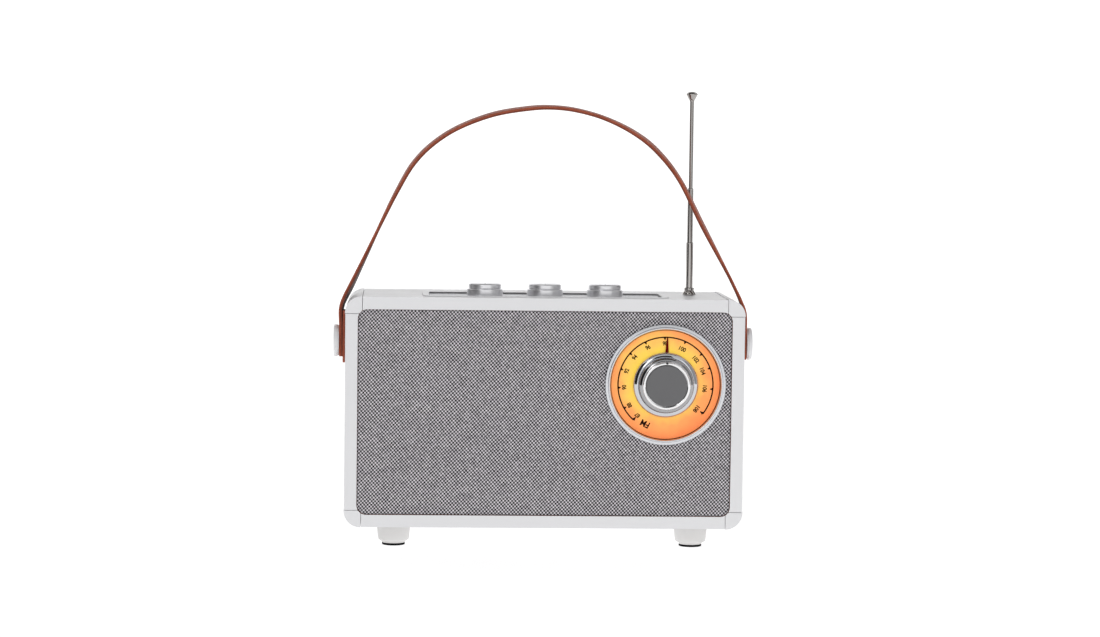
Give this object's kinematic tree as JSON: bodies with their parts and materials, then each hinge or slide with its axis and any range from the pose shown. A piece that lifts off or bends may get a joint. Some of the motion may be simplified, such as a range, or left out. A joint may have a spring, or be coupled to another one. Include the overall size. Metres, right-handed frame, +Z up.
{
  "type": "tabletop radio",
  "caption": "Portable tabletop radio with a cloth grille, round lit tuning dial, turning knobs on top, a telescopic antenna, a leather strap handle and short feet.",
  "frame": {"origin": "middle of the footprint, on the surface the radio stands on", "axes": "+Z up, the front with the grille and dial faces -Y, +X to the right as seen from the front"},
  "size_m": [0.255, 0.096, 0.2755],
  "materials": {
    "cabinet_white": "satin white moulding",
    "feet_white": "matt white",
    "pad_rubber": "dark grey rubber",
    "rear_white": "fine-grained matt white",
    "port_black": "satin black",
    "socket_metal": "plain",
    "grille_cloth": "woven black and white cloth",
    "grille_frame": "matt black",
    "baffle_wood": "plain board",
    "bezel_silver": "satin, turned",
    "dial_orange": "translucent, lit from behind",
    "lamp_white": "matt white",
    "pointer_red": "dark red",
    "capacitor_cream": "translucent cream",
    "knob_chrome": "polished",
    "cap_grey": "fine matt grey",
    "shaft_steel": "plain",
    "knob_satin": "satin, turned",
    "plate_silver": "fine satin",
    "circuit_green": "lacquered board",
    "pot_metal": "plain",
    "basket_black": "black paint",
    "magnet_grey": "plain",
    "cone_paper": "black paper cone",
    "surround_rubber": "black roll",
    "antenna_chrome": "polished",
    "strap_leather": "smooth brown leather",
    "battery_blue": "shrink wrap"
  },
  "bodies": {
    "cabinet": {"antenna_base": "antenna_chrome", "aux_socket": "port_black", "bass_port": "port_black", "battery_pack": "battery_blue", "bottom_panel": "cabinet_white", "control_bezel": "cabinet_white", "control_board": "circuit_green", "control_plate": "plate_silver", "corner_bottom_left": "cabinet_white", "corner_bottom_right": "cabinet_white", "corner_top_left": "cabinet_white", "corner_top_right": "cabinet_white", "dial_bezel": "bezel_silver", "dial_face": "dial_orange", "dial_light_box": "lamp_white", "foot_front_left": "feet_white", "foot_front_right": "feet_white", "foot_pad_front_left": "pad_rubber", "foot_pad_front_right": "pad_rubber", "foot_pad_rear_left": "pad_rubber", "foot_pad_rear_right": "pad_rubber", "foot_rear_left": "feet_white", "foot_rear_right": "feet_white", "grille_cloth": "grille_cloth", "grille_frame": "grille_frame", "left_panel": "cabinet_white", "main_board": "circuit_green", "mode_pot": "pot_metal", "rear_cover": "rear_white", "right_panel": "cabinet_white", "socket_plate": "port_black", "speaker_baffle": "baffle_wood", "speaker_basket": "basket_black", "speaker_magnet": "magnet_grey", "speaker_surround": "surround_rubber", "strap_stud_left": "shaft_steel", "strap_stud_right": "shaft_steel", "tone_pot": "pot_metal", "top_panel": "cabinet_white", "tuning_capacitor": "capacitor_cream", "usb_socket": "socket_metal", "volume_pot": "pot_metal"},
    "tuning": {"tuning_knob_ring": "knob_chrome", "tuning_knob_cap": "cap_grey", "tuning_shaft": "shaft_steel", "dial_pointer": "pointer_red"},
    "volume": {"volume_knob": "knob_satin", "volume_shaft": "shaft_steel"},
    "tone": {"tone_knob": "knob_satin", "tone_shaft": "shaft_steel"},
    "mode": {"mode_knob": "knob_satin", "mode_shaft": "shaft_steel"},
    "antenna_lower": {"antenna_section_1": "antenna_chrome"},
    "antenna_middle": {"antenna_section_2": "antenna_chrome"},
    "antenna_upper": {"antenna_section_3": "antenna_chrome", "antenna_tip": "antenna_chrome"},
    "handle": {"handle_strap": "strap_leather", "strap_button_left": "cabinet_white", "strap_button_right": "cabinet_white"},
    "cone": {"speaker_cone": "cone_paper"}
  },
  "joints": [
    {"name": "tuning_turn", "type": "hinge", "parent": "cabinet", "child": "tuning", "pos_m": [0.0724, -0.039, 0.0993], "axis": [0, 1, 0], "range_deg": [-139.5, 125.5]},
    {"name": "volume_turn", "type": "hinge", "parent": "cabinet", "child": "volume", "pos_m": [-0.0359, -0.0075, 0.1508], "axis": [0, 0, -1], "range_deg": [-140, 140]},
    {"name": "tone_turn", "type": "hinge", "parent": "cabinet", "child": "tone", "pos_m": [0.0006, -0.0075, 0.1508], "axis": [0, 0, -1], "range_deg": [-140, 140]},
    {"name": "mode_turn", "type": "hinge", "parent": "cabinet", "child": "mode", "pos_m": [0.0371, -0.0075, 0.1508], "axis": [0, 0, -1], "range_deg": [-60, 60]},
    {"name": "antenna_slide_1", "type": "slide", "parent": "cabinet", "child": "antenna_lower", "axis": [0, 0, 1], "range_m": [-0.028, 0.05]},
    {"name": "antenna_slide_2", "type": "slide", "parent": "antenna_lower", "child": "antenna_middle", "axis": [0, 0, 1], "range_m": [-0.0326, 0.05]},
    {"name": "antenna_slide_3", "type": "slide", "parent": "antenna_middle", "child": "antenna_upper", "axis": [0, 0, 1], "range_m": [-0.0526, 0.03]},
    {"name": "handle_swing", "type": "hinge", "parent": "cabinet", "child": "handle", "pos_m": [0, -0.006, 0.122], "axis": [1, 0, 0], "range_deg": [-3, 40], "deforming": ["handle_strap"]},
    {"name": "speaker_cone_travel", "type": "slide", "parent": "cabinet", "child": "cone", "axis": [0, -1, 0], "range_m": [-0.001, 0.001], "stiffness_N_per_m": 1500}
  ]
}
